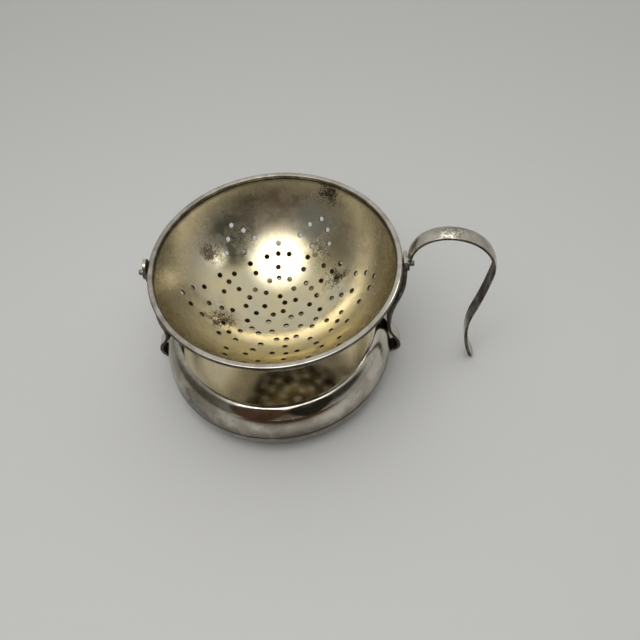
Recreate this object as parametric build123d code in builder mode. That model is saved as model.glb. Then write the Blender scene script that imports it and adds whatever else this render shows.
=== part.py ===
from build123d import *

import os
from math import acos, atan2, cos, degrees, hypot, radians, sin, sqrt
from random import Random

# A swivelling tea strainer: a pierced cup hangs on two pins between the arms of a small drip
# bowl, and a crook handle rises from one arm. All sizes are in millimetres. The origin is the
# middle of the drip bowl's base, +Z is up, and +X points along the pins towards the handle.

os.makedirs("parts", exist_ok=True)

# ---- drip bowl: two spun halves soldered edge to edge at the belly ------------------------
bowl_sheet = 0.6
belly_radius = 33.0
belly_z = 8.5
underside_tuck = 11.3           # the flat base is this much smaller in radius than the belly
shoulder_overhang = 5.0         # and the opening this much
opening_z = 18.7
seam_z = 9.3
seam_groove = 0.25

# ---- strainer: a pierced cup with a ring soldered on its lip ---------------------------------
cup_sheet = 0.6
cup_depth = 22.4                # inside, from the lip to the lowest point
rim_radius = 33.0
rim_width = 1.6
rim_height = 1.2
rim_edge = 0.45
rim_above_pivot = 2.0           # underside of the ring above the pins' axis
lean = 2.3                      # the arms carry the strainer this far towards the handle

# ---- what the turning strainer stays clear of ------------------------------------------------
swing_clearance = 0.3           # the ears
opening_clearance = 1.4         # the edge of the drip bowl's opening
floor_clearance = 3.0           # the drip bowl's floor

# ---- pins and the collars that hold them under the rim ---------------------------------------
pin_radius = 0.75
pin_tail = 1.3                  # how far a pin stands out of the ear
pin_edge = 0.15
pin_running_clearance = 0.06
collar_wall = 0.85

# ---- arms and handle: bent strips of one width -----------------------------------------------
strip_width = 4.2
strip_edge = 0.2
arm_thickness = 1.0
handle_thickness = 1.0
boss_thickness = 0.5            # round thickening outside each ear
ear_above_pivot = 4.2           # top of the free ear
ear_below_pivot = 3.8           # where each arm starts to bend
handle_joint_above_pivot = 2.6  # top of the other ear, where the handle is brazed on
neck_share = 0.5366             # height of the neck, as a share of the way from waist to ear
neck_draw = 0.4                 # the arms draw in by this much from ear to neck
neck_lean = 0.45                # share of the lean that is left at the neck
waist_gap = 3.9                 # from the opening's edge out to the arm
waist_below_opening = 1.2
foot_bulge = 3.1                # the foot stands out of the belly by this much
foot_below_belly = 1.1
foot_rise = 4.1                 # height of the foot's bend above its widest point
foot_fall = 3.2                 # and below it
foot_curl = 1.5
foot_end_below_belly = 5.2      # where the foot meets the bowl's underside
foot_overrun = 3.5              # the foot is made this much too long, and cut to the bowl

# the handle's outer face: distances out from the joint on the ear, heights above it, and the
# heights above the table of its lower end
handle_turn = 4.1               # the handle is bent this far towards -Y, in degrees
bend_out = 4.5
bend_up = 8.2
crest_out = 9.5
crest_up = 9.7
crook_out = 22.7
crook_below_crest = 14.7
leg_out = 19.65
leg_z = 23.0
tip_out = 21.7
tip_z = 0.9

# ---- pierced rosette -------------------------------------------------------------------------
hole_radius = 0.7
petals = 6
petal_angle = 1.5               # direction of the first petal, in degrees
rosette_shift = 1.0             # the rosette's middle lies off the cup's, towards +Y
rosette_twist = 62.0            # inner rings are turned by this, in degrees, over their distance
punch_scatter = 0.3             # how far a hand-set hole strays
punch_seed = 3
# each ring of holes: its distance along the inside from the middle, how often it repeats, and
# the angles of its holes from the middle line of a petal
hole_rings = (
    (3.1, 3, (60,)),
    (5.3, petals, (30,)),
    (7.8, petals, (0,)),
    (10.7, petals, (-14, 14, 30)),
    (14.4, petals, (0, 30)),
    (18.0, petals, (-19, 0, 19, 30)),
    (21.4, petals, (0, 30)),
    (24.0, petals, (-12.6, 12.6)),
    (27.3, petals, (-6.3, 6.3)),
    (30.1, petals, (0,)),
)

# ---- derived sizes ---------------------------------------------------------------------------
base_radius = belly_radius - underside_tuck
opening_radius = belly_radius - shoulder_overhang

# the rim's furthest corner turns on this radius, and the pins are high enough for it
sweep_radius = sqrt(rim_radius**2 + (rim_above_pivot + rim_height) ** 2)
opening_reach = sweep_radius + opening_clearance
opening_side = min(opening_radius - lean, opening_reach)
pivot_z = max(
    opening_z + sqrt(opening_reach**2 - opening_side**2),
    bowl_sheet + sweep_radius + floor_clearance,
)

lip_radius = rim_radius - rim_width
lip_z = pivot_z + rim_above_pivot
cup_radius = (lip_radius**2 + cup_depth**2) / (2 * cup_depth)
cup_outer_radius = cup_radius + cup_sheet
cup_centre_z = lip_z - cup_depth + cup_radius
lip_below_centre = cup_radius - cup_depth

collar_radius = pin_radius + collar_wall
ear_inner = rim_radius + swing_clearance
ear_outer = ear_inner + arm_thickness
boss_outer = ear_outer + boss_thickness
boss_radius = strip_width / 2 - strip_edge
pin_end = boss_outer + pin_tail
pin_root = 0.9 * lip_radius     # inside the cup's wall, to be cut back to its surface
ear_foot_z = pivot_z - ear_below_pivot
waist_z = opening_z - waist_below_opening
neck_z = waist_z + neck_share * (ear_foot_z - waist_z)
joint_x = lean + ear_outer
joint_z = pivot_z + handle_joint_above_pivot
waist_outer = opening_radius + waist_gap + arm_thickness
foot_outer = belly_radius + foot_bulge
foot_z = belly_z - foot_below_belly

strainer_axis = Axis((lean, 0, 0), (0, 0, 1))
strainer_section = Plane(origin=(lean, 0, 0), x_dir=(1, 0, 0), z_dir=(0, -1, 0))


def bowl_profile(inset):
    """Half section inside the drip bowl's surface moved in by inset: two quarter ellipses."""
    with BuildSketch(Plane.XZ) as section:
        with BuildLine():
            underside = EllipticalCenterArc(
                (base_radius, belly_z),
                underside_tuck - inset,
                belly_z - inset,
                start_angle=270,
                arc_size=90,
            )
            shoulder = EllipticalCenterArc(
                (opening_radius, belly_z),
                shoulder_overhang - inset,
                opening_z - belly_z - inset,
                start_angle=0,
                arc_size=90,
            )
            Polyline(underside @ 0, (0, inset), (0, opening_z - inset), shoulder @ 1)
        make_face()
    return section.sketch


def bowl_wall(low, high):
    """Half section of the drip bowl's sheet between two heights."""
    with BuildSketch(Plane.XZ) as section:
        add(bowl_profile(0))
        add(bowl_profile(bowl_sheet), mode=Mode.SUBTRACT)
        with Locations((0, belly_z)):
            Rectangle(
                opening_radius,
                opening_z - belly_z,
                align=(Align.MIN, Align.MIN),
                mode=Mode.SUBTRACT,
            )
        with Locations((0, low)):
            Rectangle(
                2 * belly_radius,
                high - low,
                align=(Align.MIN, Align.MIN),
                mode=Mode.INTERSECT,
            )
    return section.sketch


def strip_profile(plane, points, direction, thickness, inner_side):
    """Side view of a bent strip: tangent arcs through its outer points, thickened inwards."""
    with BuildSketch(plane) as section:
        with BuildLine() as outer_edge:
            for start, end in zip(points, points[1:]):
                arc = TangentArc(start, end, tangent=direction)
                direction = arc % 1
            offset(outer_edge.line, amount=thickness, side=inner_side)
        make_face()
    return section.sketch


def strip_side_edges(strip, across):
    """The edges of a strip's two flat sides, which face along the axis across."""
    sides = strip.faces().sort_by(across)
    return sides[0].edges() + sides[-1].edges()


def pin_plane(side, distance):
    """Plane across the pins' axis, at a distance from the strainer's middle, facing outwards."""
    return Plane(
        origin=(lean + side * distance, 0, pivot_z),
        x_dir=(0, 1, 0),
        z_dir=(side, 0, 0),
    )


def punch_plane(x, y):
    """Plane square to the cup's inside, at a place measured along it from its lowest point."""
    azimuth = atan2(y, x)
    dip = hypot(x, y) / cup_radius
    outward = Vector(sin(dip) * cos(azimuth), sin(dip) * sin(azimuth), -cos(dip))
    return Plane(
        origin=Vector(lean, 0, cup_centre_z) + outward * cup_radius,
        z_dir=outward,
    )


# ---- drip bowl -------------------------------------------------------------------------------
with BuildPart() as drip_dish:
    revolve(bowl_wall(0, seam_z), axis=Axis.Z)
    seam_circles = drip_dish.edges().filter_by(GeomType.CIRCLE).group_by(Axis.Z)[-1]
    chamfer(seam_circles.sort_by(SortBy.RADIUS)[-1], seam_groove)
drip_dish.part.label = "drip_dish"
export_step(drip_dish.part, "parts/drip_dish.step")

with BuildPart() as shoulder_shell:
    revolve(bowl_wall(seam_z, opening_z), axis=Axis.Z)
shoulder_shell.part.label = "shoulder_shell"
export_step(shoulder_shell.part, "parts/shoulder_shell.step")

# the whole space of the drip bowl, which the arms' feet are cut to
with BuildPart() as bowl_body:
    revolve(bowl_profile(0), axis=Axis.Z)

# ---- arms: S-shaped strips whose feet are soldered to the bowl's underside -------------------
for side, arm_name in ((1, "arm_right"), (-1, "arm_left")):
    ear_x = lean + side * ear_outer
    ear_top = joint_z if side > 0 else pivot_z + ear_above_pivot
    arm_points = (
        (ear_x, ear_foot_z),
        (side * (ear_outer - neck_draw) + neck_lean * lean, neck_z),
        (side * waist_outer, waist_z),
        (side * (foot_outer - foot_curl), foot_z + foot_rise),
        (side * foot_outer, foot_z),
        (side * (foot_outer - foot_curl), foot_z - foot_fall),
        (side * (belly_radius - foot_overrun), belly_z - foot_end_below_belly),
    )
    inner_side = Side.RIGHT if side > 0 else Side.LEFT

    with BuildPart() as arm:
        extrude(
            strip_profile(Plane.XZ, arm_points, (0, -1), arm_thickness, inner_side),
            amount=strip_width / 2,
            both=True,
        )
        with Locations((ear_x - side * arm_thickness / 2, 0, ear_foot_z)):
            Box(
                arm_thickness,
                strip_width,
                ear_top - ear_foot_z,
                align=(Align.CENTER, Align.CENTER, Align.MIN),
            )
        if side < 0:
            top_corners = arm.edges().filter_by(Axis.X).group_by(Axis.Z)[-1]
            fillet(top_corners, 0.98 * strip_width / 2)
        fillet(strip_side_edges(arm, Axis.Y), strip_edge)
        with BuildSketch(pin_plane(side, ear_outer)):
            Circle(boss_radius)
        extrude(amount=boss_thickness)
        with BuildSketch(pin_plane(side, ear_inner)):
            Circle(pin_radius + pin_running_clearance)
        extrude(amount=arm_thickness + boss_thickness, mode=Mode.SUBTRACT)
        add(bowl_body.part, mode=Mode.SUBTRACT)
    arm.part.label = arm_name
    export_step(arm.part, f"parts/{arm_name}.step")

# ---- handle: a crook that rises from the right ear and comes down almost to the table --------
turn = radians(handle_turn)
handle_plane = Plane(
    origin=(joint_x, 0, 0),
    x_dir=(cos(turn), -sin(turn), 0),
    z_dir=(-sin(turn), -cos(turn), 0),
)
handle_across = Axis(handle_plane.origin, handle_plane.z_dir)
crest_z = joint_z + crest_up
handle_points = (
    (0, joint_z),
    (bend_out, joint_z + bend_up),
    (crest_out, crest_z),
    (crook_out, crest_z - crook_below_crest),
    (leg_out, leg_z),
    (tip_out, tip_z),
)
with BuildPart() as handle:
    extrude(
        strip_profile(handle_plane, handle_points, (0, 1), handle_thickness, Side.RIGHT),
        amount=strip_width / 2,
        both=True,
    )
    tip_face = handle.faces().sort_by(Axis.Z)[0]
    fillet(tip_face.edges().filter_by(handle_across, reverse=True), 0.9 * strip_width / 2)
    joint_face = handle.faces().filter_by(Plane.XY).sort_by(Axis.X)[0]
    fillet(strip_side_edges(handle, handle_across) - joint_face.edges(), strip_edge)
handle.part.label = "handle"
export_step(handle.part, "parts/handle.step")

# ---- strainer bowl: a spun cup, pierced square to its surface --------------------------------
with BuildPart() as strainer_bowl:
    with BuildSketch(strainer_section):
        with BuildLine():
            cup_centre = (0, cup_centre_z)
            inside = CenterArc(
                cup_centre,
                cup_radius,
                start_angle=270,
                arc_size=degrees(acos(lip_below_centre / cup_radius)),
            )
            outside = CenterArc(
                cup_centre,
                cup_outer_radius,
                start_angle=270,
                arc_size=degrees(acos(lip_below_centre / cup_outer_radius)),
            )
            Line(inside @ 0, outside @ 0)
            Line(inside @ 1, outside @ 1)
        make_face()
    revolve(axis=strainer_axis)

    hand = Random(punch_seed)
    punches = [punch_plane(0, rosette_shift)]
    for distance, repeats, angles in hole_rings:
        ring_angle = petal_angle + rosette_twist / distance
        for repeat in range(repeats):
            for angle in angles:
                along = distance + hand.uniform(-punch_scatter, punch_scatter)
                across = hand.uniform(-punch_scatter, punch_scatter)
                azimuth = radians(ring_angle + angle + 360 * repeat / repeats) + across / distance
                punches.append(
                    punch_plane(along * cos(azimuth), along * sin(azimuth) + rosette_shift)
                )
    with Locations(*punches):
        Cylinder(hole_radius, 4 * cup_sheet, mode=Mode.SUBTRACT)
strainer_bowl.part.label = "strainer_bowl"
export_step(strainer_bowl.part, "parts/strainer_bowl.step")

# ---- rim ring: flat underneath, rounded on top, soldered on the cup's lip --------------------
with BuildPart() as rim_ring:
    with BuildSketch(strainer_section) as rim_section:
        with Locations((lip_radius, lip_z)):
            Rectangle(rim_width, rim_height, align=(Align.MIN, Align.MIN))
        fillet(rim_section.vertices().group_by(Axis.Y)[-1], rim_edge)
    revolve(axis=strainer_axis)
rim_ring.part.label = "rim_ring"
export_step(rim_ring.part, "parts/rim_ring.step")

# ---- pivot collars and pins, cut to the cup's outside ----------------------------------------
with BuildPart() as cup_body:
    with Locations((lean, 0, cup_centre_z)):
        Sphere(cup_outer_radius)

for side, side_name in ((1, "right"), (-1, "left")):
    with BuildPart() as collar:
        with BuildSketch(pin_plane(side, pin_root)):
            Circle(collar_radius)
            Circle(pin_radius, mode=Mode.SUBTRACT)
        extrude(amount=rim_radius - pin_root)
        add(cup_body.part, mode=Mode.SUBTRACT)
    collar.part.label = f"pivot_collar_{side_name}"
    export_step(collar.part, f"parts/pivot_collar_{side_name}.step")

    with BuildPart() as pin:
        with BuildSketch(pin_plane(side, pin_root)):
            Circle(pin_radius)
        extrude(amount=pin_end - pin_root)
        chamfer(pin.edges().group_by(Axis.X)[-1 if side > 0 else 0], pin_edge)
        add(cup_body.part, mode=Mode.SUBTRACT)
    pin.part.label = f"pivot_pin_{side_name}"
    export_step(pin.part, f"parts/pivot_pin_{side_name}.step")
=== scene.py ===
"""Looks of a swivelling tea strainer with its drip bowl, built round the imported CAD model."""

import math

import bmesh
import bpy
from mathutils import Matrix, Vector
from mathutils.kdtree import KDTree


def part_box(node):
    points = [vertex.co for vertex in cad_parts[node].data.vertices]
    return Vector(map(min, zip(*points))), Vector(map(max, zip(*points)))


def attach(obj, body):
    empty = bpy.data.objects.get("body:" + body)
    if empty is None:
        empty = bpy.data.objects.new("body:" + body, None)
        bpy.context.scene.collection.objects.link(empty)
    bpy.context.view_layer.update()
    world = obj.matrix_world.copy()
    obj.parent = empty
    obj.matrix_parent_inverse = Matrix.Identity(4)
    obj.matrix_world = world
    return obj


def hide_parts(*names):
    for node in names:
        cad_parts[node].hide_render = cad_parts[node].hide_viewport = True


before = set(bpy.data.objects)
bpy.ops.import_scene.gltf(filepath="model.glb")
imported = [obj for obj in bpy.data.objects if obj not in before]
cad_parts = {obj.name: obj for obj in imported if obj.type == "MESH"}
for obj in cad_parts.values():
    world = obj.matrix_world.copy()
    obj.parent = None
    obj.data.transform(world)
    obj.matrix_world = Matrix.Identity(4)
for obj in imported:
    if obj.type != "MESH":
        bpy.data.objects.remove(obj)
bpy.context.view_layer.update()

MM = 0.001

# ---- dimensions shared with the CAD model ----------------------------------------------------
rim_width = 1.6 * MM
rim_edge = 0.45 * MM
belly_height = 8.5 * MM
strip_half = 2.1 * MM
handle_bend = math.radians(4.1)

# ---- places taken from the CAD model ---------------------------------------------------------
cup_low, cup_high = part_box("strainer_bowl")
rim_low, rim_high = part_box("rim_ring")
shell_low, shell_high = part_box("shoulder_shell")
handle_low, handle_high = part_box("handle")
pivot_low, pivot_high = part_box("pivot_pin_right")

strainer_x = (rim_low.x + rim_high.x) / 2
lip_z = rim_low.z
rim_radius = (rim_high.x - rim_low.x) / 2
lip_radius = rim_radius - rim_width
cup_outer_lip = (cup_high.x - cup_low.x) / 2
cup_outer_depth = lip_z - cup_low.z
cup_outer_radius = (cup_outer_lip**2 + cup_outer_depth**2) / (2 * cup_outer_depth)
cup_centre = Vector((strainer_x, 0, cup_low.z + cup_outer_radius))
bowl_middle = Vector((0, 0, belly_height))
seam_z = shell_low.z
pivot_z = (pivot_low.z + pivot_high.z) / 2
arm_hollow = Vector((0, 0, pivot_z))
crook_middle = Vector(((handle_low.x + handle_high.x) / 2, 0, handle_high.z - 12 * MM))


# ---- node helpers ----------------------------------------------------------------------------
class Graph:
    """A small wrapper that adds nodes and links their inputs in one line."""

    def __init__(self, tree):
        self.tree = tree
        self.tree.nodes.clear()

    def add(self, kind, **settings):
        node = self.tree.nodes.new(kind)
        for name, value in settings.items():
            setattr(node, name, value)
        return node

    def feed(self, socket, value):
        if hasattr(value, "is_output"):
            self.tree.links.new(value, socket)
        else:
            socket.default_value = value

    def math(self, operation, *values, clamp=False):
        node = self.add("ShaderNodeMath", operation=operation, use_clamp=clamp)
        for socket, value in zip(node.inputs, values):
            self.feed(socket, value)
        return node.outputs[0]

    def vector(self, operation, *values):
        node = self.add("ShaderNodeVectorMath", operation=operation)
        for socket, value in zip(node.inputs, values):
            self.feed(socket, value)
        output = "Value" if operation in ("DOT_PRODUCT", "LENGTH", "DISTANCE") else "Vector"
        return node.outputs[output]

    def ramp(self, value, low, high, to_low=0.0, to_high=1.0):
        """Smooth step of value between low and high."""
        node = self.add("ShaderNodeMapRange", interpolation_type="SMOOTHSTEP")
        for name, setting in zip(
            ("Value", "From Min", "From Max", "To Min", "To Max"),
            (value, low, high, to_low, to_high),
        ):
            self.feed(node.inputs[name], setting)
        return node.outputs["Result"]

    def mix(self, factor, first, second):
        node = self.add("ShaderNodeMix", data_type="RGBA")
        self.feed(node.inputs["Factor"], factor)
        self.feed(node.inputs["A"], first)
        self.feed(node.inputs["B"], second)
        return node.outputs["Result"]

    def noise(self, vector, scale, detail=3.0, roughness=0.55, distortion=0.0):
        node = self.add("ShaderNodeTexNoise")
        self.feed(node.inputs["Vector"], vector)
        node.inputs["Scale"].default_value = scale
        node.inputs["Detail"].default_value = detail
        node.inputs["Roughness"].default_value = roughness
        node.inputs["Distortion"].default_value = distortion
        return node.outputs["Fac"]

    def spot(self, position, centre, radius, soft):
        """One near a point, falling to zero between radius and radius + soft."""
        distance = self.vector("DISTANCE", position, centre)
        return self.ramp(distance, radius, radius + soft, 1.0, 0.0)


def rgb(red, green, blue):
    return (red, green, blue, 1.0)


# ---- materials -------------------------------------------------------------------------------
SILVER = rgb(0.66, 0.625, 0.55)
SILVER_DULL = rgb(0.47, 0.425, 0.35)
GILT = rgb(0.80, 0.69, 0.43)
GILT_WORN = rgb(0.72, 0.66, 0.49)
GILT_DULL = rgb(0.55, 0.50, 0.38)
GILT_BOWL = rgb(0.60, 0.51, 0.31)
GILT_BOWL_WORN = rgb(0.52, 0.45, 0.31)
TONED = rgb(0.15, 0.133, 0.108)
FILM = rgb(0.50, 0.44, 0.33)
# dark of tarnish and grime, also used as painted shade on strip sides, holes and under the
# belly
GRIME_AND_SHADE = rgb(0.045, 0.034, 0.022)

# how many times each pattern repeats in a metre
CLOUDS = 75
WEAR = 95
WAVES = 130
PATCHES = 170
SMUDGES = 260
SPECKS = 900
PITS = 2300
FINE_LINES = 9000

# depth of what stands out of, or is sunk into, the surface
scratch_depth = 0.02 * MM
tarnish_depth = 0.03 * MM
wave_depth = 0.12 * MM

halo_width = 0.40 * MM
dull_band = 7 * MM
dull_wander = 5 * MM


def plated(
    name,
    lining=None,
    gilding=(GILT, GILT_WORN),
    lining_gloss=None,
    dull_from=None,
    bored=False,
    marks=(),
    grime_and_shade=None,
    toned=None,
    gloss=0.15,
    patches=0.15,
    scratches=0.12,
    lay=(0.3, 0.5, 0.9),
    waves=0.30,
):
    """Old plated metal: clouded colour, smudges, dark pits, tarnish and fine scratches.

    lining is the middle of a hollow whose inner side is gilt: gilding is its bright and worn
    colour, lining_gloss its own roughness, and dull_from the height where it turns dull.
    bored adds painted shade on the walls of its holes and round each hole. marks are places
    in mm, with a radius and a strength, where the metal is pitted. grime_and_shade is a mask
    for grime at joints and for painted shade, and toned one for browner plate. gloss is the
    roughness, scratches and waves are strengths, and lay is the direction of the scratches.
    """
    material = bpy.data.materials.new(name)
    material.use_nodes = True
    g = Graph(material.node_tree)
    place = g.add("ShaderNodeTexCoord")
    position = place.outputs["Object"]
    normal = place.outputs["Normal"]
    cloud = g.noise(position, CLOUDS, detail=5, roughness=0.6)
    smudge = g.noise(position, SMUDGES, detail=6, roughness=0.68)

    colour = g.mix(g.ramp(cloud, 0.36, 0.66, 0.0, 0.6), SILVER, SILVER_DULL)
    if toned is not None:
        colour = g.mix(toned(g, position, cloud, smudge), colour, TONED)
    if lining is not None:
        inward = g.vector("NORMALIZE", g.vector("SUBTRACT", lining, position))
        facing = g.vector("DOT_PRODUCT", inward, normal)
        inside = g.ramp(facing, 0.0, 0.06)
        wear = g.ramp(g.noise(position, WEAR, detail=5, roughness=0.6), 0.36, 0.64)
        gilt = g.mix(wear, *gilding)
        if dull_from is not None:
            wander = g.math("MULTIPLY_ADD", cloud, dull_wander, part_of(g, position, "Z"))
            high = g.ramp(wander, dull_from, dull_from + dull_band)
            gilt = g.mix(high, gilt, GILT_DULL)
        colour = g.mix(inside, colour, gilt)
    colour = g.mix(g.ramp(smudge, 0.42, 0.72, 0.0, 0.30), colour, FILM)

    dark = tarnish(g, position, smudge, patches, marks)
    # painted shade on the hole walls and round each hole
    if bored:
        dark = g.math("MAXIMUM", dark, hole_shade(g, facing, smudge))
    # grime at joints, and painted shade on strip sides and under the belly
    if grime_and_shade is not None:
        uneven = g.ramp(smudge, 0.30, 0.60, 0.65, 1.0)
        edge = g.math("MULTIPLY", grime_and_shade(g, position, normal), uneven)
        dark = g.math("MAXIMUM", dark, edge)
    dark = g.math("MINIMUM", dark, 1.0)
    colour = g.mix(dark, colour, GRIME_AND_SHADE)

    rough = g.ramp(smudge, 0.30, 0.75, gloss - 0.04, gloss + 0.10)
    if dull_from is not None:
        rough = g.math("MULTIPLY_ADD", high, 0.12, rough)
    if lining_gloss is not None:
        fogged = g.ramp(smudge, 0.35, 0.75, lining_gloss - 0.01, lining_gloss + 0.05)
        outside = g.math("SUBTRACT", 1.0, inside)
        rougher = g.math("SUBTRACT", rough, fogged)
        rough = g.math("MULTIPLY_ADD", outside, rougher, fogged)
    rough = g.math("MULTIPLY_ADD", dark, 0.35, rough)

    shader = g.add("ShaderNodeBsdfPrincipled")
    g.feed(shader.inputs["Base Color"], colour)
    shader.inputs["Metallic"].default_value = 1.0
    g.feed(shader.inputs["Roughness"], rough)
    g.feed(shader.inputs["Normal"], relief(g, position, dark, scratches, lay, waves))
    output = g.add("ShaderNodeOutputMaterial")
    g.feed(output.inputs["Surface"], shader.outputs["BSDF"])
    return material


def tarnish(g, position, smudge, patches, marks):
    """Mask of scattered patches, small specks, and the places where the metal is pitted."""
    broken = g.noise(position, PATCHES, detail=7, roughness=0.75)
    dark = g.ramp(broken, 0.63, 0.74, 0.0, patches)
    specks = g.ramp(g.noise(position, SPECKS, detail=2), 0.74, 0.79, 0.0, 0.7)
    dark = g.math("MAXIMUM", dark, specks)
    fine = g.noise(position, PITS, detail=3, roughness=0.7)
    clumped = g.math("MULTIPLY_ADD", g.math("SUBTRACT", smudge, 0.5), 0.55, fine)
    for centre, radius, strength in marks:
        near = g.spot(position, Vector(centre) * MM, 0.0, 1.5 * radius * MM)
        limit = g.math("MULTIPLY_ADD", near, -0.34, 0.78)
        pits = g.ramp(g.math("SUBTRACT", clumped, limit), 0.0, 0.03)
        stain = g.math("MULTIPLY", near, g.ramp(smudge, 0.34, 0.66, 0.0, 0.60))
        both = g.math("MAXIMUM", pits, stain)
        dark = g.math("MAXIMUM", dark, g.math("MULTIPLY", both, strength))
    return dark


def hole_shade(g, facing, smudge):
    """Painted shade on the walls of a sheet's holes, and a painted dark halo round each hole.
    """
    walls = g.ramp(g.math("ABSOLUTE", facing), 0.35, 0.75, 0.95, 0.0)
    uneven = g.ramp(smudge, 0.3, 0.6, 0.5, 0.95)
    halo = g.math("MULTIPLY", near_edge(g, halo_width), uneven)
    return g.math("MAXIMUM", walls, halo)


def relief(g, position, dark, scratches, lay, waves):
    """Normal with two sets of scratches, sunken tarnish and slow waves."""
    across = (lay[0] + 0.7, lay[1], lay[2] + 1.1)
    sets = []
    for turn, scale in ((lay, (250, FINE_LINES, 250)), (across, (FINE_LINES, 300, 300))):
        mapping = g.add("ShaderNodeMapping")
        g.feed(mapping.inputs["Vector"], position)
        mapping.inputs["Rotation"].default_value = turn
        mapping.inputs["Scale"].default_value = scale
        sets.append(g.noise(mapping.outputs["Vector"], 1.0, detail=2))
    normal = None
    for height, strength, depth in (
        (g.math("ADD", *sets), scratches, scratch_depth),
        (g.math("MULTIPLY", dark, -1.0), 0.35, tarnish_depth),
        (g.noise(position, WAVES, detail=1), waves, wave_depth),
    ):
        bump = g.add("ShaderNodeBump")
        bump.inputs["Strength"].default_value = strength
        bump.inputs["Distance"].default_value = depth
        g.feed(bump.inputs["Height"], height)
        if normal is not None:
            g.feed(bump.inputs["Normal"], normal)
        normal = bump.outputs["Normal"]
    return normal


def near_edge(g, reach):
    """One at sharp edges, such as the rims of holes, falling to zero a short way off."""
    softened = g.add("ShaderNodeBevel", samples=6)
    softened.inputs["Radius"].default_value = reach
    surface = g.add("ShaderNodeNewGeometry")
    turned = g.vector("DOT_PRODUCT", softened.outputs["Normal"], surface.outputs["Normal"])
    return g.ramp(turned, 0.86, 0.995, 1.0, 0.0)


def part_of(g, vector, axis):
    """One part of a vector, by the name of its axis."""
    split = g.add("ShaderNodeSeparateXYZ")
    g.feed(split.inputs[0], vector)
    return split.outputs[axis]


def radius_about(g, position, x):
    """Distance from the upright axis at that x."""
    flat = g.vector("MULTIPLY", g.vector("SUBTRACT", position, (x, 0, 0)), (1, 1, 0))
    return g.vector("LENGTH", flat)


def ring_edges(g, position, normal):
    """Dark seams along the ring's inner and outer edges."""
    radius = radius_about(g, position, strainer_x)
    inner = g.ramp(radius, lip_radius + 0.1 * MM, lip_radius + 0.40 * MM, 0.85, 0.0)
    outer = g.ramp(radius, rim_radius - 0.38 * MM, rim_radius - 0.02 * MM, 0.0, 0.85)
    return g.math("MAXIMUM", inner, outer)


def cup_edges(g, position, normal):
    """Darker band on the cup just under the ring."""
    height = part_of(g, position, "Z")
    return g.ramp(height, lip_z - 0.9 * MM, lip_z - 0.1 * MM, 0.0, 0.7)


def seam_grime_and_under_shade(g, position, normal):
    """Grime along the soldered seam, and painted shade under the belly, on the outside."""
    height = part_of(g, position, "Z")
    away = g.math("ABSOLUTE", g.math("SUBTRACT", height, seam_z))
    seam = g.ramp(away, 0.12 * MM, 0.50 * MM, 0.85, 0.0)
    # painted shade, darker towards the bottom of the belly
    under = g.ramp(height, 0.8 * MM, 5.5 * MM, 0.80, 0.0)
    outward = g.vector("SUBTRACT", position, bowl_middle)
    outside = g.ramp(g.vector("DOT_PRODUCT", outward, normal), 0.0, 0.002)
    return g.math("MULTIPLY", g.math("MAXIMUM", seam, under), outside)


def belly_tone(g, position, cloud, smudge):
    """The outside of the drip bowl is browner and darker below its shoulder, and most on the
    left.
    """
    height = part_of(g, position, "Z")
    across = part_of(g, position, "X")
    low = g.ramp(height, 9 * MM, 14 * MM, 1.0, 0.20)
    left = g.ramp(across, -26 * MM, 12 * MM, 0.25, -0.15)
    broken = g.ramp(g.math("MULTIPLY_ADD", smudge, 0.6, cloud), 0.62, 0.98, -0.30, 0.3)
    return g.math("ADD", g.math("ADD", low, left), broken, clamp=True)


def ring_tone(g, position, cloud, smudge):
    """The ring is browner towards the left, with random patches all round."""
    across = part_of(g, position, "X")
    left = g.ramp(across, -30 * MM, 6 * MM, 0.38, 0.0)
    broken = g.ramp(smudge, 0.38, 0.66, -0.25, 0.30)
    return g.math("ADD", left, broken, clamp=True)


def handle_tone(g, position, cloud, smudge):
    """Brown haze on the handle, thicker down its leg."""
    height = part_of(g, position, "Z")
    low = g.ramp(height, 30 * MM, 48 * MM, 0.35, 0.0)
    return g.math("ADD", low, g.ramp(smudge, 0.45, 0.75, 0.0, 0.45))


def pin_tone(g, position, cloud, smudge):
    """The pins and collars are brown all over."""
    return g.ramp(smudge, 0.30, 0.60, 0.70, 0.95)


def strip_shade(hollow):
    """Painted shade on a strip's sides, and on the face towards the point hollow."""

    def grime_and_shade(g, position, normal):
        sides = g.math("ABSOLUTE", part_of(g, normal, "Y"))
        sides = g.ramp(sides, 0.45, 0.9, 0.0, 0.92)
        inward = g.vector("NORMALIZE", g.vector("SUBTRACT", hollow, position))
        inner = g.ramp(g.vector("DOT_PRODUCT", inward, normal), 0.1, 0.6, 0.0, 1.0)
        return g.math("MAXIMUM", sides, inner)

    return grime_and_shade


def dress(node, material):
    """Give a CAD node the material."""
    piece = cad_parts[node]
    if not piece.material_slots:
        piece.data.materials.append(material)
    for slot in piece.material_slots:
        slot.link = "OBJECT"
        slot.material = material


# pitted places: middle in mm, radius in mm, strength
cup_marks = (
    ((16.3, 27.1, 41.5), 5.5, 1.0),
    ((-18.1, 14.8, 33.0), 4.5, 0.85),
    ((-14.4, -5.3, 26.4), 6.0, 0.95),
    ((17.8, 8.9, 26.6), 6.0, 0.95),
    ((-10.5, 20.5, 32.0), 5.5, 0.8),
    ((13.5, 17.0, 28.5), 6.0, 0.8),
)
belly_marks = (((-23.7, -22.3, 12.5), 7.0, 0.5),)
handle_marks = (
    ((47.0, -0.7, 53.3), 5.0, 0.75),
    ((37.0, 0.0, 45.0), 5.0, 0.95),
)
arm_marks = (
    ((36.5, 0.0, 43.0), 5.0, 0.9),
    ((32.0, 0.0, 22.0), 6.0, 0.9),
)

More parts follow.
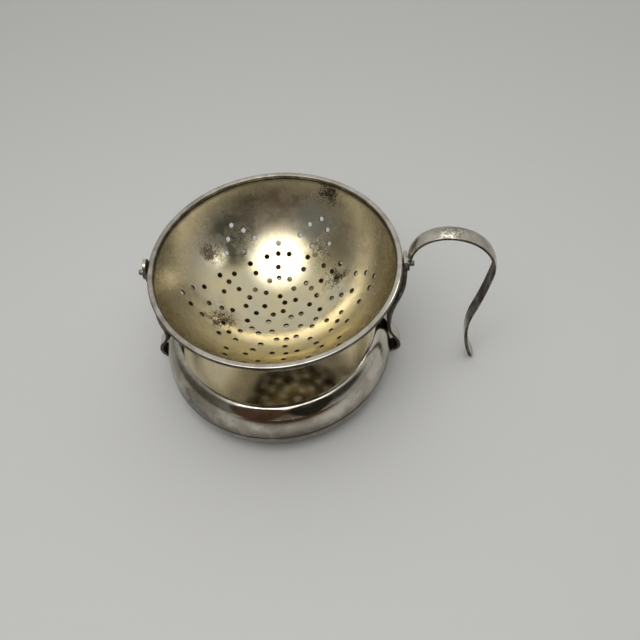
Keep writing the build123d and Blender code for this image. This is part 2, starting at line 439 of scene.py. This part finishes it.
# ---- materials of the CAD nodes that stay ----------------------------------------------------
dress(
    "strainer_bowl",
    plated(
        "gilt_cup",
        lining=cup_centre,
        dull_from=30 * MM,
        marks=cup_marks,
        grime_and_shade=cup_edges,
        bored=True,
        gloss=0.12,
    ),
)
bowl_material = plated(
    "gilt_lined_bowl",
    lining=bowl_middle,
    marks=belly_marks,
    grime_and_shade=seam_grime_and_under_shade,
    toned=belly_tone,
    gilding=(GILT_BOWL, GILT_BOWL_WORN),
    lining_gloss=0.05,
    gloss=0.09,
    scratches=0.30,
    waves=0.12,
)
dress("drip_dish", bowl_material)
dress("shoulder_shell", bowl_material)
arm_material = plated(
    "silver_arm",
    grime_and_shade=strip_shade(arm_hollow),
    marks=arm_marks,
    gloss=0.20,
)
dress("arm_right", arm_material)
dress("arm_left", arm_material)
pin_material = plated("tarnished_pin", toned=pin_tone, gloss=0.35, patches=0.95)
for node in ("pivot_collar_right", "pivot_collar_left", "pivot_pin_right", "pivot_pin_left"):
    dress(node, pin_material)

# ---- rim ring, turned smooth -----------------------------------------------------------------
corner_steps = 10
turn_steps = 288


def rounded_section(low, high, edge):
    """Corners of a rounded rectangle in the (radius, height) plane, anticlockwise."""
    points = []
    corners = (
        (high[0] - edge, low[1] + edge, -90),
        (high[0] - edge, high[1] - edge, 0),
        (low[0] + edge, high[1] - edge, 90),
        (low[0] + edge, low[1] + edge, 180),
    )
    for radius, height, start in corners:
        for step in range(corner_steps + 1):
            angle = math.radians(start + 90 * step / corner_steps)
            points.append((radius + edge * math.cos(angle), height + edge * math.sin(angle)))
    return points


def add_object(name, data):
    """New object in the scene."""
    made = bpy.data.objects.new(name, data)
    bpy.context.scene.collection.objects.link(made)
    return made


def turned_ring(name, section, centre_x):
    """Ring made by turning a closed section about the upright axis at centre_x."""
    vertices = []
    for step in range(turn_steps):
        angle = 2 * math.pi * step / turn_steps
        for radius, height in section:
            x = centre_x + radius * math.cos(angle)
            vertices.append((x, radius * math.sin(angle), height))
    count = len(section)
    faces = []
    for step in range(turn_steps):
        here = step * count
        ahead = (step + 1) % turn_steps * count
        for index in range(count):
            following = (index + 1) % count
            faces.append((here + index, ahead + index, ahead + following, here + following))
    ring_mesh = bpy.data.meshes.new(name)
    ring_mesh.from_pydata(vertices, [], faces)
    ring_mesh.polygons.foreach_set("use_smooth", [True] * len(faces))
    ring_mesh.update()
    return add_object(name, ring_mesh)


rim_section = rounded_section((lip_radius, rim_low.z), (rim_radius, rim_high.z), rim_edge)
smooth_ring = turned_ring("smooth_rim_ring", rim_section, strainer_x)
smooth_ring.data.materials.append(
    plated("silver_ring", grime_and_shade=ring_edges, toned=ring_tone, gloss=0.18, patches=0.4)
)
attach(smooth_ring, "strainer")
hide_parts("rim_ring")


# ---- handle, its outer face domed across the strip -------------------------------------------
dome_height = 0.35 * MM
dome_cuts = 9
edge_reach = 0.3 * MM          # the rounded corners follow the outer face within this
flat_below = 10 * MM           # the dome fades out towards the tip
flat_fade = 8 * MM
face_tilt = 0.15               # most that an outer face may lean to the side
crease_angle = math.radians(35)


def domed_strip(node, name, hollow, middle, across):
    """Copy of a strip whose outer face falls away towards its sides.

    hollow is a point on the inner side, middle one on the middle line, and across the
    direction of the strip's width.
    """
    work = bmesh.new()
    work.from_mesh(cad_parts[node].data)
    for number in range(dome_cuts):
        share = 2 * (number + 1) / (dome_cuts + 1) - 1
        bmesh.ops.bisect_plane(
            work,
            geom=work.verts[:] + work.edges[:] + work.faces[:],
            plane_co=middle + across * strip_half * share,
            plane_no=across,
        )
    work.normal_update()
    work.verts.index_update()
    work.verts.ensure_lookup_table()

    outward = {}
    for face in work.faces:
        is_outer = face.normal.dot(hollow - face.calc_center_median()) < 0
        if is_outer and abs(face.normal.dot(across)) < face_tilt:
            for vertex in face.verts:
                so_far = outward.get(vertex.index, Vector())
                outward[vertex.index] = so_far + face.normal * face.calc_area()
    outer = KDTree(len(outward))
    for index in outward:
        outer.insert(work.verts[index].co, index)
    outer.balance()

    drops = []
    for vertex in work.verts:
        place, index, distance = outer.find(vertex.co)
        if distance < edge_reach:
            share = (place - middle).dot(across) / strip_half
            fade = min(max((place.z - flat_below) / flat_fade, 0.0), 1.0)
            drop = outward[index].normalized() * dome_height * fade * share**2
            drops.append((vertex, drop))
    for vertex, drop in drops:
        vertex.co -= drop

    strip_mesh = bpy.data.meshes.new(name)
    work.to_mesh(strip_mesh)
    work.free()
    strip_mesh.polygons.foreach_set("use_smooth", [True] * len(strip_mesh.polygons))
    strip_mesh.set_sharp_from_angle(angle=crease_angle)
    strip_mesh.materials.clear()
    return add_object(name, strip_mesh)


domed_handle = domed_strip(
    "handle",
    "domed_handle",
    crook_middle,
    Vector((handle_low.x, 0, 0)),
    Vector((math.sin(handle_bend), math.cos(handle_bend), 0)),
)
domed_handle.data.materials.append(
    plated(
        "silver_handle",
        grime_and_shade=strip_shade(crook_middle),
        marks=handle_marks,
        gloss=0.17,
        lay=(0.2, 0.2, 1.5),
        toned=handle_tone,
    )
)
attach(domed_handle, "stand")
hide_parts("handle")


# ---- camera ----------------------------------------------------------------------------------
def camera_axes(pitch, yaw, roll):
    """World directions of the picture's right, up and backward axes."""
    tilt = Matrix(
        (
            (1, 0, 0),
            (0, -math.sin(pitch), -math.cos(pitch)),
            (0, math.cos(pitch), -math.sin(pitch)),
        )
    )
    turned = Matrix.Rotation(roll, 3, "Z") @ tilt @ Matrix.Rotation(yaw, 3, "Z")
    return turned[0], -turned[1], -turned[2]


camera_pitch = math.radians(54.02)
camera_yaw = math.radians(-4.42)
camera_roll = math.radians(-5.32)
camera_place = Vector((0.021763, -0.117974, 0.180934))

right, up, back = camera_axes(camera_pitch, camera_yaw, camera_roll)
camera_data = bpy.data.cameras.new("camera")
camera_data.sensor_width = 36
camera_data.lens = 39.27
camera_data.clip_start = 0.01
camera_data.clip_end = 20
camera = add_object("camera", camera_data)
placed = Matrix((right, up, back)).transposed().to_4x4()
placed.translation = camera_place
camera.matrix_world = placed
bpy.context.scene.camera = camera

# ---- floor -----------------------------------------------------------------------------------
def flat_square(name, half):
    """Mesh of one square face in the XY plane."""
    corners = [(-half, -half, 0), (half, -half, 0), (half, half, 0), (-half, half, 0)]
    square = bpy.data.meshes.new(name)
    square.from_pydata(corners, [], [(0, 1, 2, 3)])
    return square


floor_half = 1.5
floor_mesh = flat_square("floor", floor_half)
floor = add_object("floor", floor_mesh)
floor_material = bpy.data.materials.new("floor")
floor_material.use_nodes = True
floor_shader = floor_material.node_tree.nodes["Principled BSDF"]
floor_shader.inputs["Base Color"].default_value = rgb(0.69, 0.69, 0.685)
floor_shader.inputs["Roughness"].default_value = 0.9
floor_shader.inputs["Specular IOR Level"].default_value = 0.1
floor_mesh.materials.append(floor_material)


# ---- light -----------------------------------------------------------------------------------
def heading(azimuth, elevation):
    """Unit vector; azimuth 0 is +Y, 90 is +X."""
    a = math.radians(azimuth)
    e = math.radians(elevation)
    return Vector((math.sin(a) * math.cos(e), math.cos(a) * math.cos(e), math.sin(e)))


world = bpy.data.worlds.new("studio")
bpy.context.scene.world = world
world.use_nodes = True
w = Graph(world.node_tree)
sky_place = w.add("ShaderNodeTexCoord")
direction = w.vector("NORMALIZE", sky_place.outputs["Generated"])
upward = w.ramp(part_of(w, direction, "Z"), 0.0, 0.9)
sky = w.mix(upward, rgb(0.46, 0.46, 0.45), rgb(0.62, 0.62, 0.60))

# soft-edged darker sides of the studio: azimuth, elevation, full and vanishing radius in
# degrees, colour
dark_sides = (
    (-125, 10, 30, 60, rgb(0.18, 0.17, 0.14)),
    (178, 8, 34, 62, rgb(0.20, 0.17, 0.14)),
    (124, 34, 16, 32, rgb(0.050, 0.052, 0.048)),
    (-140, 26, 6, 24, rgb(0.19, 0.21, 0.22)),
)
for azimuth, elevation, inner, outer, tone in dark_sides:
    toward = w.vector("DOT_PRODUCT", direction, heading(azimuth, elevation))
    inside = w.ramp(toward, math.cos(math.radians(outer)), math.cos(math.radians(inner)))
    sky = w.mix(inside, sky, tone)

background = w.add("ShaderNodeBackground")
w.feed(background.inputs["Color"], sky)
background.inputs["Strength"].default_value = 1.0
world_output = w.add("ShaderNodeOutputWorld")
w.feed(world_output.inputs["Surface"], background.outputs["Background"])


def studio_card(name, place, faced, half, material, narrowing=1.0, lights_floor=False):
    """A card that the camera doesn't see: a soft box, or a dark flag that only shows in gloss.

    It stands at place and faces the point faced. narrowing is its width over its height.
    """
    card_mesh = flat_square(name, half)
    card_mesh.materials.append(material)
    card = add_object(name, card_mesh)
    card.location = place
    card.rotation_euler = (faced - place).to_track_quat("Z", "Y").to_euler()
    card.scale = (narrowing, 1.0, 1.0)
    card.visible_camera = False
    card.visible_diffuse = lights_floor
    card.visible_shadow = False
    card.visible_transmission = False


def glow(name, tone, strength, inner, outer):
    """Light that fades between two distances from the card's middle, and lets the rest pass."""
    material = bpy.data.materials.new(name)
    material.use_nodes = True
    g = Graph(material.node_tree)
    place = g.add("ShaderNodeTexCoord")
    distance = g.vector("LENGTH", place.outputs["Object"])
    emission = g.add("ShaderNodeEmission")
    emission.inputs["Color"].default_value = tone
    emission.inputs["Strength"].default_value = strength
    clear = g.add("ShaderNodeBsdfTransparent")
    blend = g.add("ShaderNodeMixShader")
    g.feed(blend.inputs["Fac"], g.ramp(distance, inner, outer))
    g.feed(blend.inputs[1], emission.outputs["Emission"])
    g.feed(blend.inputs[2], clear.outputs["BSDF"])
    output = g.add("ShaderNodeOutputMaterial")
    g.feed(output.inputs["Surface"], blend.outputs["Shader"])
    return material


LAMP = rgb(1.0, 1.0, 0.985)
GLINT = rgb(1.0, 1.0, 0.97)
BROWN = rgb(0.085, 0.050, 0.035)
NEAR_BLACK = rgb(0.020, 0.019, 0.014)

lit_point = Vector((3, 14, 25)) * MM
studio_card(
    "soft_box",
    lit_point + heading(-172, 71) * 300 * MM,
    lit_point,
    200 * MM,
    glow("soft_box", LAMP, 3.3, 40 * MM, 195 * MM),
    lights_floor=True,
)

# dark flags in front of the drip bowl: faced point, place, colour, full radius, narrowing
near_flags = (
    ("front_flag", (-4, -32, 26), (-13, -55, 38), BROWN, 28, 0.72),
    ("side_flag", (14, -30, 26), (23, -52, 38), NEAR_BLACK, 27, 0.62),
)
flag_edge = 1.12
for name, faced, place, tone, radius, narrowing in near_flags:
    studio_card(
        name,
        Vector(place) * MM,
        Vector(faced) * MM,
        35 * MM,
        glow(name, tone, 1.0, radius * MM, flag_edge * radius * MM),
        narrowing=narrowing,
    )

crest = Vector((47, -0.7, 54)) * MM
studio_card(
    "handle_glint",
    crest + heading(0, 72) * 20 * MM,
    crest,
    12 * MM,
    glow("handle_glint", GLINT, 8.0, 2 * MM, 8.5 * MM),
)

floor_flag_place = Vector((30, -215, 0.5)) * MM
studio_card(
    "floor_flag",
    floor_flag_place,
    floor_flag_place + Vector((0, 0, 1)),
    200 * MM,
    glow("floor_flag", BROWN, 1.0, 120 * MM, 170 * MM),
)

scene = bpy.context.scene
scene.view_settings.view_transform = "Standard"
scene.view_settings.look = "None"
